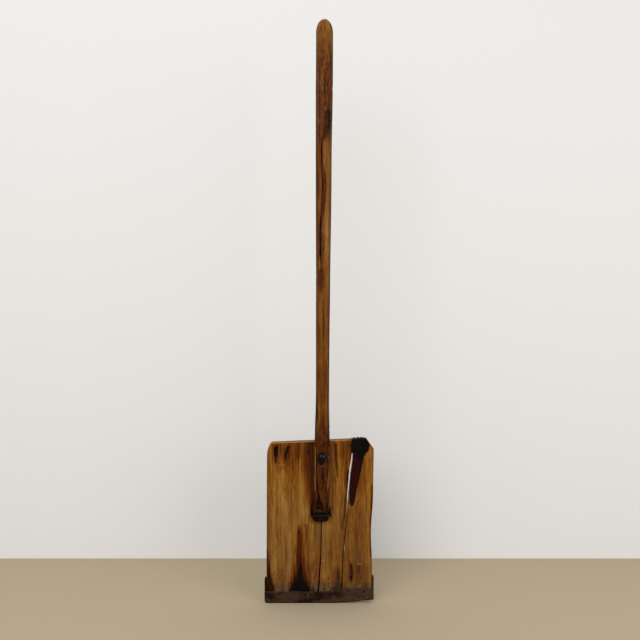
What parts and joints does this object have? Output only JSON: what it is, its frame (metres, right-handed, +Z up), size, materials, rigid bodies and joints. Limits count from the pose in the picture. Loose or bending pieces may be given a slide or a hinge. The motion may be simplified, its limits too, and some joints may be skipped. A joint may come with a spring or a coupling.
{
  "type": "grain shovel",
  "caption": "Flat wooden grain shovel with a long round handle lapped onto a board blade and a folded iron shoe on its edge.",
  "frame": {"origin": "middle of the shoe's lower edge, at half the thickness of the board's lower end", "axes": "+Z up the handle, -Y out of the working front, +X to the right as the front is seen"},
  "size_m": [0.2629, 0.064, 1.3999],
  "materials": {
    "blade_wood": "worn, waxed old board",
    "handle_wood": "hand-polished old pole",
    "black_iron": "blackened iron",
    "rusty_sheet": "rusted sheet iron"
  },
  "bodies": {
    "root": {"blade": "blade_wood", "handle": "handle_wood", "carriage_bolt": "black_iron", "bolt_washer": "black_iron", "square_nut": "black_iron", "foot_nails": "black_iron", "heel_staple": "black_iron", "edge_shoe": "rusty_sheet", "lip_nails": "rusty_sheet", "back_nails": "rusty_sheet"}
  },
  "joints": []
}
